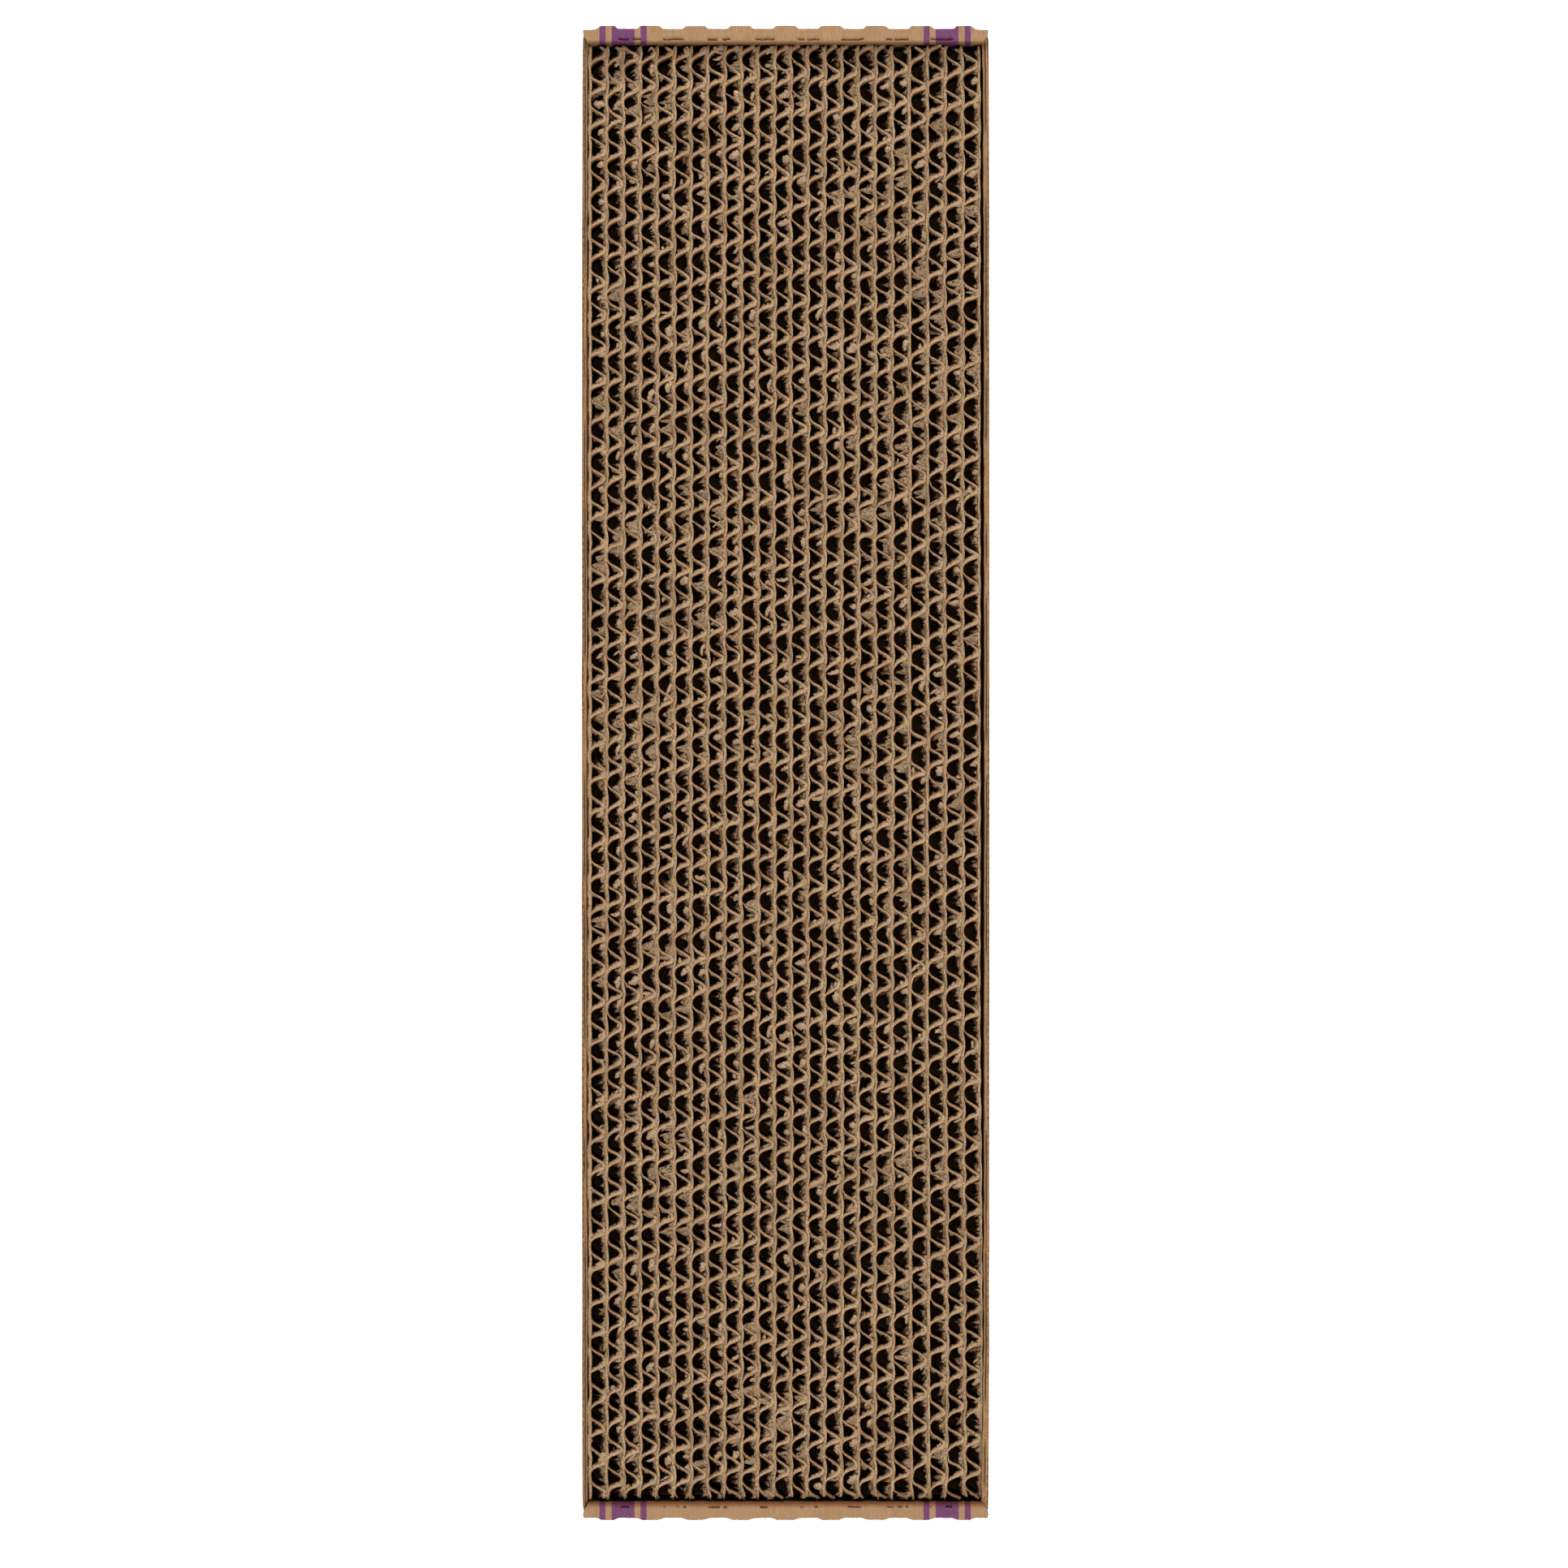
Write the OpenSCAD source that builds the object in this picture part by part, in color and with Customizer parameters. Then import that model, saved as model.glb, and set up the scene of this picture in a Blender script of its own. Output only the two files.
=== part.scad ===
// Cardboard cat scratcher: a pad of corrugated strips glued side by side on edge,
// dropped loose into a folded tray with rolled-over double end walls.
// The strips' flutes stand upright. X runs across the strips, Y along them, Z is up,
// and the origin is on the floor at the middle of the tray's underside.

/* [Pad] */
// Number of corrugated strips glued side by side
strip_count = 23; // [16:1:30]
// Thickness of one strip of single-wall board
strip_t = 5; // [4:0.1:7]
// Length of the pad
pad_len = 430; // [200:1:520]
// Height of the pad, which is the depth of each strip
pad_h = 44; // [25:1:60]
// Distance from one flute to the next along a strip
flute_pitch = 9.6; // [8:0.1:12]
// Thickness of a strip's flat liners
strip_liner_t = 0.35; // [0.25:0.05:0.5]
// Thickness of a strip's fluted paper
strip_medium_t = 0.3; // [0.2:0.05:0.45]

/* [Tray] */
// Thickness of the tray's board
board_t = 1.9; // [1.5:0.1:2.6]
// Thickness of the tray board's flat liners
board_liner_t = 0.3; // [0.2:0.05:0.4]
// Thickness of the tray board's fluted paper
board_medium_t = 0.25; // [0.15:0.05:0.35]
// Distance from one flute to the next in the tray's board
board_pitch = 3.5; // [3:0.1:5]
// Height of the end walls' ledges above the pad's top
rim_rise = 4.1; // [3:0.1:12]
// How far the side walls stop below the ledges' tops
side_drop = 0.5; // [0.2:0.1:1]
// Gap between the tips of the two corner flaps held inside an end wall
flap_gap = 33; // [10:1:60]

/* [Clearances] */
// Gap between the pad and the left wall
gap_left = 0.5; // [0.3:0.1:2]
// Gap between the pad and the right wall
gap_right = 1.6; // [0.3:0.1:3]
// Gap between the pad and the front end wall
gap_front = 1; // [0.3:0.1:3]
// Gap between the pad and the rear end wall
gap_rear = 0.4; // [0.3:0.1:2]
// Gap round a lock tab in its slot, and between a ledge's mitred end and a side wall
seam = 0.2; // [0.1:0.05:0.4]

/* [End ledges] */
// Distance between perforation cuts along a crease
cut_pitch = 13.4; // [10:0.1:20]
// Length of one perforation cut
cut_len = 6.6; // [4:0.1:8]
// Width of a perforation cut that the fold has opened
cut_w = 0.5; // [0.3:0.05:0.8]
// Depth of a perforation cut
cut_depth = 0.7; // [0.4:0.05:1]
// How far the uncut stretches of the outer crease are crushed back
crush = 0.9; // [0.4:0.05:1.2]
// Width of a lock tab on an inner end panel
tab_w = 22; // [12:1:30]

/* [Hidden] */
// The strips are numbered from the left, as 01, 02 and so on
function strip_name(i) = str("pad_strip_", i < 9 ? "0" : "", i + 1);
$fn = 48;

// Small overlap that lets glued papers join, and overrun of every cut
bite = 0.05;
over = 1;

// Overall sizes, from the pad outwards
pad_w = strip_count * strip_t;
inner_w = pad_w + gap_left + gap_right;
outer_w = inner_w + 2 * board_t;
inner_len = pad_len + gap_front + gap_rear;
wall_boards = 3;
end_wall_t = wall_boards * board_t;
outer_len = inner_len + 2 * end_wall_t;
outer_h = board_t + pad_h + rim_rise;
side_h = outer_h - side_drop;
pad_x = -inner_w / 2 + gap_left;
pad_rear_y = inner_len / 2 - gap_rear;

// Where a lock tab's centre lies, as a share of the tray's inner width from the middle
tab_place_share = 0.256;
tab_x = tab_place_share * inner_w;

kraft = [0.72, 0.56, 0.40];
kraft_edge = [0.63, 0.48, 0.33];
strip_tone = [0.70, 0.55, 0.39];

// One pitch of a strip's fluted paper, from the rear: shares of the pitch along it,
// and of the space between the liners across it. Its arches lean as the saw left them
strip_wave_shares = [[0, 1], [0.18, 0.22], [0.45, 0], [0.70, 0.18]];
// One pitch of the tray board's fluted paper
board_wave_shares = [[0.08, 1], [0.42, 0], [0.58, 0], [0.92, 1]];
// Where each strip's first flute starts behind its rear end, as a share of the pitch
strip_phase_shares = [0.30, 0.30, 0.40, 0.30, 0.25, 0.25, 0.20, 0.05, 0.00, 0.00, 0.05, 0.05,
                      0.90, 0.95, 0.95, 0.90, 0.00, 0.90, 0.75, 0.30, 0.95, 0.80, 0.65];
// How far each strip's flutes have crept forwards by its front end, as a share of the pitch
strip_creep_shares = [0.50, 0.15, 0.05, 0.05, 0.05, 0.05, 0.00, -0.05, -0.05, -0.05, -0.10, 0.05,
                      0.00, 0.15, 0.15, 0.00, 0.20, 0.25, 0.40, 0.45, 0.35, 0.30, 0.45];

function unit(v) = v / norm(v);
function turned(v) = [-v[1], v[0]];

// The middle line of a fluted paper from below 0 to past len, across a space of given width
function wave_line(len, space, pitch, phase, shares) =
    [for (k = [-2 : ceil(len / pitch) + 1]) for (s = shares)
        [s[1] * space, (k + phase + s[0]) * pitch]];

// That line moved sideways by half the paper's thickness, with mitred corners
function moved_line(line, by) =
    [for (i = [1 : len(line) - 2])
        let (a = turned(unit(line[i] - line[i - 1])),
             b = turned(unit(line[i + 1] - line[i])),
             m = unit(a + b))
        line[i] + m * by / (m * a)];

// Cross-section of a single-wall board: thickness along X from 0, length along Y from 0
module board_section(len, t, liner, medium, pitch, phase, shares) {
    space = t - 2 * liner - medium + 2 * bite;
    line = wave_line(len, space, pitch, phase, shares);
    right = moved_line(line, -medium / 2);
    left = moved_line(line, medium / 2);
    back = [for (i = [len(left) - 1 : -1 : 0]) left[i]];
    square([liner, len]);
    translate([t - liner, 0]) square([liner, len]);
    intersection() {
        translate([liner + medium / 2 - bite, 0]) polygon(concat(right, back));
        square([t, len]);
    }
}

module tray_section(len, phase = 0) {
    board_section(len, board_t, board_liner_t, board_medium_t, board_pitch, phase, board_wave_shares);
}

// One upright strip of the pad, with its flutes open at the top and the bottom
module pad_strip(i) {
    phase = strip_phase_shares[i % len(strip_phase_shares)];
    creep = strip_creep_shares[i % len(strip_creep_shares)];
    pitch = pad_len / (pad_len / flute_pitch - creep);
    color(strip_tone)
        translate([pad_x + i * strip_t, pad_rear_y, board_t])
            linear_extrude(pad_h) mirror([0, 1])
                board_section(pad_len, strip_t, strip_liner_t, strip_medium_t,
                              pitch, phase, strip_wave_shares);
}

// A quarter of a disc as thick as the board: the section of a right-angled fold
module fold_section() {
    intersection() {
        circle(board_t);
        translate([-board_t, -board_t]) square(board_t);
    }
}

// Floor of the tray with the slots that the lock tabs enter, its flutes along the tray
module tray_bottom() {
    floor_len = outer_len - 2 * board_t;
    tab_y = outer_len / 2 - end_wall_t + board_t / 2;
    color(kraft) difference() {
        translate([0, floor_len / 2, 0]) rotate([90, 0, 0]) linear_extrude(floor_len)
            translate([-inner_w / 2, board_t]) rotate(-90) tray_section(inner_w);
        for (end = [-1, 1], side = [-1, 1])
            translate([side * tab_x, end * tab_y, 0])
                cube([tab_w + 2 * seam, board_t + 2 * seam, 2 * board_t + over], center = true);
    }
}

// Plan of the ledge on the rear end wall, with its mitred ends, grown by a gap when it cuts a wall
module ledge_plan(grow = 0) {
    x_in = inner_w / 2;
    x_out = outer_w / 2 + grow;
    y_in = outer_len / 2 - end_wall_t - grow;
    y_mitre = outer_len / 2 - board_t - grow;
    y_out = outer_len / 2 + grow;
    polygon([[-x_in, y_in], [x_in, y_in], [x_out, y_mitre], [x_out, y_out],
             [-x_out, y_out], [-x_out, y_mitre]]);
}

// Right wall of the tray: the fold at its foot, and a raw edge on top that the ledges' mitres cut
module side_wall() {
    wall_len = outer_len - 4 * board_t;
    difference() {
        translate([outer_w / 2 - board_t, wall_len / 2, board_t]) rotate([90, 0, 0])
            linear_extrude(wall_len) {
                tray_section(side_h - board_t);
                mirror([1, 0]) fold_section();
            }
        for (end = [0, 1])
            mirror([0, end, 0])
                translate([0, 0, outer_h - board_t]) linear_extrude(board_t + over)
                    ledge_plan(seam);
    }
}

// Outer panel of the rear end wall, with the fold at its foot
module outer_panel() {
    color(kraft) {
        translate([-outer_w / 2, outer_len / 2 - board_t, board_t])
            linear_extrude(outer_h - 2 * board_t)
                translate([0, board_t]) rotate(-90) tray_section(outer_w);
        translate([-inner_w / 2, outer_len / 2 - board_t, board_t]) rotate([90, 0, 90])
            linear_extrude(inner_w) mirror([1, 0]) fold_section();
    }
}

// Inner panel of the rear end wall, with the tabs that lock into the floor
module inner_panel() {
    y = outer_len / 2 - end_wall_t;
    color(kraft) {
        translate([-inner_w / 2, y, board_t]) linear_extrude(outer_h - 2 * board_t)
            translate([0, board_t]) rotate(-90) tray_section(inner_w);
        for (side = [-1, 1])
            translate([side * tab_x - tab_w / 2, y, 2 * seam])
                cube([tab_w, board_t, board_t - 2 * seam + bite]);
    }
}

// Centres of the perforation cuts of a crease, shifted by a share of the cut pitch
function cut_places(shift_share) =
    [for (k = [-ceil(outer_w / cut_pitch) : ceil(outer_w / cut_pitch)])
        let (x = (k + shift_share) * cut_pitch)
        if (abs(x) < inner_w / 2 - cut_len / 2) x];

// Section of the strip of board between the two creases, rolled over the end wall
module ledge_section(reach) {
    translate([-end_wall_t + board_t, 0]) square([end_wall_t - 2 * board_t, board_t]);
    for (side = [0, 1])
        translate([side == 0 ? -end_wall_t + board_t : -board_t, 0])
            intersection() {
                circle(board_t);
                translate([side == 0 ? -board_t : 0, 0]) square([side == 0 ? board_t : reach, board_t]);
            }
}

// Ledge on top of the rear end wall. Its outer crease stands proud where it was cut,
// and its inner crease shows the cuts as open slits
module ledge() {
    z = outer_h - board_t;
    color(kraft) difference() {
        intersection() {
            translate([-outer_w / 2, outer_len / 2, z]) rotate([90, 0, 90]) {
                linear_extrude(outer_w) ledge_section(board_t - crush);
                for (x = cut_places(0))
                    translate([0, 0, outer_w / 2 + x - cut_len / 2])
                        linear_extrude(cut_len) ledge_section(board_t);
            }
            translate([0, 0, z - over]) linear_extrude(board_t + 2 * over) ledge_plan();
        }
        for (x = cut_places(0.5))
            translate([x, outer_len / 2 - end_wall_t + board_t, outer_h])
                cube([cut_len, cut_w, 2 * cut_depth], center = true);
    }
}

// Flap at the rear end of the right wall, folded in behind the outer panel
module corner_flap() {
    flap_h = outer_h - 2 * board_t - 2 * seam;
    color(kraft_edge) translate([inner_w / 2, outer_len / 2 - 2 * board_t, board_t + seam]) {
        rotate([90, 0, -90]) linear_extrude((inner_w - flap_gap) / 2)
            mirror([1, 0]) tray_section(flap_h);
        linear_extrude(flap_h) intersection() {
            circle(board_t);
            square(board_t);
        }
    }
}

tray_bottom();
color(kraft) side_wall();  // tray_right_wall
color(kraft) mirror([1, 0, 0]) side_wall();  // tray_left_wall
outer_panel();  // rear_outer_panel
mirror([0, 1, 0]) outer_panel();  // front_outer_panel
ledge();  // rear_ledge
mirror([0, 1, 0]) ledge();  // front_ledge
inner_panel();  // rear_inner_panel
mirror([0, 1, 0]) inner_panel();  // front_inner_panel
corner_flap();  // rear_right_flap
mirror([1, 0, 0]) corner_flap();  // rear_left_flap
mirror([0, 1, 0]) corner_flap();  // front_right_flap
mirror([1, 0, 0]) mirror([0, 1, 0]) corner_flap();  // front_left_flap
for (i = [0 : strip_count - 1])
    pad_strip(i);
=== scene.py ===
"""A cardboard cat scratcher: a pad of corrugated strips standing on edge in a folded tray.

Sizes are in millimetres until a mesh is made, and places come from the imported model's own boxes.
X runs across the strips, Y along them with the rear end at +Y, and Z is up. A place along a strip
is counted forwards from its rear end.
"""
import math

import bpy
import numpy as np
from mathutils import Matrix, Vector


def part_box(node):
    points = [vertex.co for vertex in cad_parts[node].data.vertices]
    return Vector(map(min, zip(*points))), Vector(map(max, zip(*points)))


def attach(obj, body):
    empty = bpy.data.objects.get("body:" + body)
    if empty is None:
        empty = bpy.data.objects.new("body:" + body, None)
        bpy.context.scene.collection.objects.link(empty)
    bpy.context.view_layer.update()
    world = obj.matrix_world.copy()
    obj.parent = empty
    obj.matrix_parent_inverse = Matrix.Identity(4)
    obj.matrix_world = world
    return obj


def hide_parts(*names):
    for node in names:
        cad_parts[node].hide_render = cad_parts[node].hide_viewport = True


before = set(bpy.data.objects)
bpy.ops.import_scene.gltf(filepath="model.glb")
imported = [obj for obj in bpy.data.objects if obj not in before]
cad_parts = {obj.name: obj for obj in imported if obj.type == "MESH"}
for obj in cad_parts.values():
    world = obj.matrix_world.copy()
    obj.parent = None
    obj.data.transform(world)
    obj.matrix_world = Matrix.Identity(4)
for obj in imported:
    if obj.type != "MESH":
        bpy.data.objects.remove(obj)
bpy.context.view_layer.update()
MM = 0.001


def box_mm(node):
    """A node's lowest and highest corners, in millimetres."""
    return tuple(np.array(corner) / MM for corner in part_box(node))


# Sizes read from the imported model
strip_nodes = sorted(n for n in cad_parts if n.startswith("pad_strip_"))
PAD_LOW, FIRST_STRIP_HIGH = box_mm(strip_nodes[0])
PAD_HIGH = box_mm(strip_nodes[-1])[1]
PAD_LEN = PAD_HIGH[1] - PAD_LOW[1]
STRIP_T = FIRST_STRIP_HIGH[0] - PAD_LOW[0]
WALL_LOW, WALL_HIGH = box_mm("tray_right_wall")
LEDGE_LOW, LEDGE_HIGH = box_mm("rear_ledge")
BOARD_T = LEDGE_HIGH[2] - LEDGE_LOW[2]
LEDGE_W = LEDGE_HIGH[1] - LEDGE_LOW[1]
OUTER_X = WALL_HIGH[0]
INNER_X = WALL_LOW[0]
OUTER_Y = LEDGE_HIGH[1]

# The strips' board
LINER_T = 0.35
MEDIUM_T = 0.3
FLUTE_PITCH = 9.6
# One flute's middle line from the rear, where it meets the right liner: shares of the pitch along
# it and of the width across it
FLUTE_SHARES = np.array([[-0.055, 1], [0, 0.95], [0.052, 0.64], [0.098, 0.36], [0.17, 0.1],
                         [0.27, -0.03], [0.43, -0.03], [0.53, 0.06], [0.61, 0.27], [0.695, 0.61],
                         [0.785, 0.9], [0.87, 1]])
# How far the torn burr lies over to the left of the flute's sawn edge, in millimetres, at these
# shares of the pitch: widest where the paper lies against the right liner
BURR_AT = [0.0, 0.08, 0.19, 0.28, 0.36, 0.47, 0.55, 0.68, 0.78, 0.90, 1.0]
BURR_W = [1.9, 1.3, 0.75, 0.45, 0.2, 0.15, 0.4, 0.7, 1.1, 1.7, 1.9]
# How many times as steeply as on a plain edge the burr hangs down, at the same shares
BURR_DROP = [1.2, 1.6, 1.7, 1.4, 1, 1.5, 2.0, 2.2, 1.8, 1.2, 1.2]
# Where each strip's flutes start, forwards from its rear end, and how far they have crept forwards
# by its front end, as shares of the pitch
PHASE_SHARES = [0.30, 0.30, 0.40, 0.30, 0.25, 0.25, 0.20, 0.05, 0.00, 0.00, 0.05, 0.05,
                0.90, 0.95, 0.95, 0.90, 0.00, 0.90, 0.75, 0.30, 0.95, 0.80, 0.65]
CREEP_SHARES = [0.50, 0.15, 0.05, 0.05, 0.05, 0.05, 0.00, -0.05, -0.05, -0.05, -0.10, 0.05,
                0.00, 0.15, 0.15, 0.00, 0.20, 0.25, 0.40, 0.45, 0.35, 0.30, 0.45]

# The pad's glue lines
# How far these lines lie to the right of their even places; the lines between them go in proportion
OFFSET_LINES = [0, 1, 8, 12, 18, 20, 23]
OFFSETS = [-0.28, -0.1, -0.06, -0.36, -0.38, 0.1, 0.65]
# How far the flutes press a line and an outer face out of straight. The waves' crests lie this
# share of the pitch behind the places where the flutes meet their right liner.
WASHBOARD = 0.32
FACE_WAVE = 0.12
WAVE_LAG = 0.17
# How far a line's front end may curl to either side, and over which length
CURL = 0.9
CURL_LEN = 5
# Near the front the last lines splay to the right: not at all up to the first of these lines and
# of these places, and by this much from the second ones on
SPLAY = 0.7
SPLAY_LINES = (17, 22)
SPLAY_PLACES = (290, 370)
# The standing papers end here, inside their sawn edges
PAPER_TOP = PAD_HIGH[2] - 0.8

# The perforated creases of the end ledges
CUT_PITCH = 13.4
CUT_LEN = 6.6
# The tray's corners lie this far inside its widest place, and its end panels this far behind
# its ends
CORNER_INSET = 0.4
PANEL_SETBACK = 0.95
# Where the ledges' rounded inner folds end, inwards from the tray's ends: a little short of the
# ledge's whole width, which leaves a dark gap at both ends of the pad
FOLD_EDGE = LEDGE_W - 0.35
# A side wall's raw edge, from its outer face inwards: how far in each point lies, its height from
# the wall's top, and how much lower it lies in a dash of the crushed flute and in the groove by the
# inner liner
RAW_EDGE = [(0.01, -0.7, 0, 0), (0.04, -0.25, 0, 0), (0.14, -0.03, 0, 0), (0.25, -0.12, 0, 0),
            (0.29, -0.4, 1.8, 0), (0.47, -0.4, 1.8, 0), (0.50, -0.12, 0, 0), (0.62, -0.02, 0, 0),
            (0.70, -0.12, 0, 0.3), (0.74, -0.4, 0, 2.4), (1.04, -0.4, 0, 2.4), (1.10, -0.12, 0, 0.2),
            (1.26, -0.06, 0, 0), (1.42, -0.7, 0, 0)]
# From one of its dashes to the next
DASH_PITCH = 2.35
# What the numbers hand and end stand for
SIDES = {1: "right", -1: "left"}
ENDS = {1: "rear", -1: "front"}

# Seeds of the random draws
LINE_SEED, STRIP_SEED, TATTER_SEED, WALL_SEED, LEDGE_SEED = 500, 100, 77, 40, 60


def drift(places, step, draw):
    """A slow random wave: one height every step, drawn by draw(count), joined by half cosines."""
    at = (places - places.min()) / step
    k = np.floor(at).astype(int)
    heights = draw(k.max() + 2)
    share = (1 - np.cos(math.pi * (at - k))) / 2
    return heights[k] * (1 - share) + heights[k + 1] * share


def wander(places, step, size, rng):
    """A slow random wave between minus size and size."""
    return drift(places, step, lambda count: rng.uniform(-size, size, count))


def step_up(x, low, high):
    """0 at low, 1 at high, and 3t^2 - 2t^3 between them, whichever of the two is the larger."""
    t = np.clip((x - low) / (high - low), 0, 1)
    return t * t * (3 - 2 * t)


def curve_through(points, per_span):
    """The Catmull-Rom curve, with per_span points a span: between the middle two of any four points
    in a row, the cubic whose end slopes are half the chords between each one's neighbours."""
    a, b, c, d = points[:-3, None], points[1:-2, None], points[2:-1, None], points[3:, None]
    t = (np.arange(per_span) / per_span)[None, :, None]
    cubic = 2 * b + (c - a) * t + (2 * a - 5 * b + 4 * c - d) * t**2 + (3 * b - a - 3 * c + d) * t**3
    return (cubic / 2).reshape(-1, points.shape[1])


def side_of(path):
    """Unit vectors square to a flat path, on its right as it runs: its slope turned by a quarter.
    A path that runs forwards has them pointing to the pad's left."""
    slope = np.gradient(path, axis=0)
    right = np.stack([slope[:, 1], -slope[:, 0]], -1)
    return right / np.linalg.norm(right, axis=1, keepdims=True)


def evenly(path, spacing):
    """The same path with its points the given spacing apart, by length along it, and at least 8."""
    length = np.concatenate([[0], np.cumsum(np.linalg.norm(np.diff(path, axis=0), axis=1))])
    at = np.linspace(0, length[-1], max(int(length[-1] / spacing), 8))
    return np.stack([np.interp(at, length, path[:, k]) for k in (0, 1)], -1)


def row_of(x, y, z):
    """A row of points, where each of x, y and z is an array or the same all along the row."""
    return np.stack(np.broadcast_arrays(x, y, z), -1)


def loft(rings):
    """A closed skin over rings[..., ring, point, xyz]: quads between each ring and the next, and
    each end ring closed by a ladder of quads between its two halves. If the volume that the quads
    enclose comes out negative, they are turned over, so that they face outwards."""
    rings = rings.reshape(-1, *rings.shape[-3:])
    copies, n, m = rings.shape[:3]
    points = rings.reshape(-1, 3)
    i = np.arange(n - 1)[:, None] * m
    j = np.arange(m)[None, :]
    k = (j + 1) % m
    around = np.stack([i + j, i + k, i + m + k, i + m + j], -1).reshape(-1, 4)
    c = np.arange(m // 2 - 1)
    ladder = np.stack([c, c + 1, m - 2 - c, m - 1 - c], -1)
    one = np.concatenate([around, ladder[:, ::-1], ladder + (n - 1) * m])
    faces = (one[None] + np.arange(copies)[:, None, None] * n * m).reshape(-1, 4)
    p = points[faces]
    volume = np.einsum("ij,ij->", p[:, 0], np.cross(p[:, 1] - p[:, 0], p[:, 2] - p[:, 0]))
    volume += np.einsum("ij,ij->", p[:, 0], np.cross(p[:, 2] - p[:, 0], p[:, 3] - p[:, 0]))
    return points, faces if volume > 0 else faces[:, ::-1]


def make_piece(name, skins, materials, body, slot, *nodes):
    """One object out of several skins, each (points in mm, quads) with its material's number."""
    points, faces, numbers, first = [], [], [], 0
    for (skin_points, skin_faces), number in skins:
        points.append(skin_points)
        faces.append(skin_faces + first)
        numbers.append(np.full(len(skin_faces), number))
        first += len(skin_points)
    points, faces, numbers = np.concatenate(points), np.concatenate(faces), np.concatenate(numbers)
    mesh = bpy.data.meshes.new(name)
    mesh.vertices.add(len(points))
    mesh.vertices.foreach_set("co", (points * MM).astype(np.float32).ravel())
    mesh.loops.add(faces.size)
    mesh.loops.foreach_set("vertex_index", faces.astype(np.int32).ravel())
    mesh.polygons.add(len(faces))
    mesh.polygons.foreach_set("loop_start", np.arange(0, faces.size, 4, dtype=np.int32))
    mesh.polygons.foreach_set("material_index", numbers.astype(np.int32))
    mesh.polygons.foreach_set("use_smooth", np.ones(len(faces), dtype=bool))
    mesh.update(calc_edges=True)
    for material in materials:
        mesh.materials.append(material)
    piece = bpy.data.objects.new(name, mesh)
    bpy.context.scene.collection.objects.link(piece)
    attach(piece, body)
    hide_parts(*nodes)


# Materials

def linear(colour):
    """An sRGB hex colour as linear red, green, blue and alpha."""
    c = np.array([int(colour[k:k + 2], 16) for k in (1, 3, 5)]) / 255
    return (*np.where(c <= 0.04045, c / 12.92, ((c + 0.055) / 1.055) ** 2.4), 1.0)


def add(tree, kind, inputs, **settings):
    """Adds a node with its settings. An input is a value, or another node's output to link."""
    node = tree.nodes.new("ShaderNode" + kind)
    for name, value in settings.items():
        setattr(node, name, value)
    for name, value in inputs.items():
        if isinstance(value, bpy.types.NodeSocket):
            tree.links.new(value, node.inputs[name])
        else:
            node.inputs[name].default_value = value
    return node


def new_material(name):
    """An empty material's node tree, its output and the piece's own coordinates in metres."""
    material = bpy.data.materials.new(name)
    material.use_nodes = True
    tree = material.node_tree
    tree.nodes.clear()
    output = add(tree, "OutputMaterial", {})
    place = add(tree, "TexCoord", {}).outputs["Object"]
    return material, tree, output, place


def paper_shader(tree, output, colour, height, depth, roughness):
    """Dull paper: no metal, a paper's IOR of 1.45, hardly any gloss, and relief from height, which
    is depth millimetres deep."""
    bump = add(tree, "Bump", {"Height": height, "Distance": depth * MM, "Strength": 1.0})
    shader = add(tree, "BsdfPrincipled", {"Base Color": colour, "Roughness": roughness, "IOR": 1.45,
                                          "Specular IOR Level": 0.25,
                                          "Normal": bump.outputs[0]})
    tree.links.new(shader.outputs[0], output.inputs[0])


def pressed_kraft(tree, place, light, dark, along):
    """Colour and height of brown kraft liner: pressed fibres 0.35 mm across and 3 mm long give a
    faint streak along the sheet, patches of about 10 mm are cloudy, and specks of 0.5 mm are dark.
    along is the axis that the fibres follow."""
    stretch = [1 / (0.35 * MM)] * 3
    stretch[along] = 1 / (3 * MM)
    fibres = add(tree, "Mapping", {"Vector": place, "Scale": stretch}).outputs[0]
    fibre = add(tree, "TexNoise", {"Vector": fibres, "Scale": 1.0, "Detail": 3.0,
                                   "Roughness": 0.6}).outputs["Fac"]
    cloud = add(tree, "TexNoise", {"Vector": place, "Scale": 1 / (10 * MM)}).outputs["Fac"]
    speck = add(tree, "TexNoise", {"Vector": place, "Scale": 1 / (0.5 * MM),
                                   "Roughness": 0.7}).outputs["Fac"]
    streak = add(tree, "MapRange", {"Value": fibre, "From Min": 0.3, "From Max": 0.7}).outputs[0]
    toned = add(tree, "Mix", {0: streak, 6: linear(dark), 7: linear(light)}, data_type="RGBA").outputs[2]
    shade = add(tree, "MapRange", {"Value": cloud, "From Min": 0.3, "From Max": 1.2}).outputs[0]
    toned = add(tree, "Mix", {0: shade, 6: toned, 7: linear(dark)}, data_type="RGBA").outputs[2]
    dots = add(tree, "MapRange", {"Value": speck, "From Min": 0.66, "From Max": 0.9}).outputs[0]
    toned = add(tree, "Mix", {0: dots, 6: toned, 7: linear("#7d5a3a")}, data_type="RGBA").outputs[2]
    height = add(tree, "Math", {0: fibre, 1: cloud}, operation="ADD").outputs[0]
    return toned, height


def kraft_liner(name, light, dark, along):
    """Uncoated brown kraft liner: matt, with a faint streak of fibres that keeps a flat panel from
    looking like plastic."""
    material, tree, output, place = new_material(name)
    colour, height = pressed_kraft(tree, place, light, dark, along)
    paper_shader(tree, output, colour, height, depth=0.05, roughness=0.78)
    return material


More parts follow.
